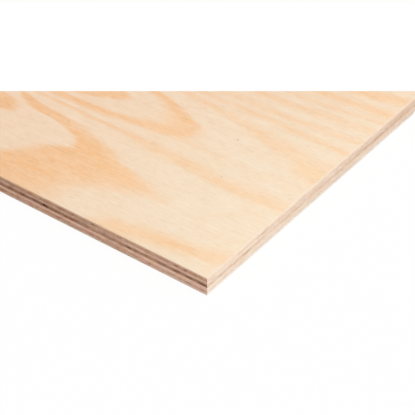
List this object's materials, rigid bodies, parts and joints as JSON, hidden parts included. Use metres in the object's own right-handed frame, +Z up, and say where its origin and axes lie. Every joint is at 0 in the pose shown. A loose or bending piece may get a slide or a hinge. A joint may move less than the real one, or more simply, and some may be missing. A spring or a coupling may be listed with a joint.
{
  "type": "plywood sheet",
  "caption": "Flat full-size sheet of structural softwood plywood: bonded veneers with crossed grain, a clear pine face and square sawn edges that show the plies.",
  "frame": {"origin": "centre of the underside", "axes": "+X along the length and the grain of the face, +Y across the width, +Z up, out of the good face"},
  "size_m": [2.44, 1.22, 0.018],
  "materials": {
    "outer_pine": "sanded bare pine, rotary-cut, grain along the length",
    "long_band_pine": "sawn bare pine, grain along the length",
    "crossband_pine": "sawn bare pine, grain across the width, darkened by the glue"
  },
  "bodies": {
    "root": {"face_veneer": "outer_pine", "upper_crossband": "crossband_pine", "upper_long_band": "long_band_pine", "core_crossband": "crossband_pine", "lower_long_band": "long_band_pine", "lower_crossband": "crossband_pine", "back_veneer": "outer_pine"}
  },
  "joints": []
}
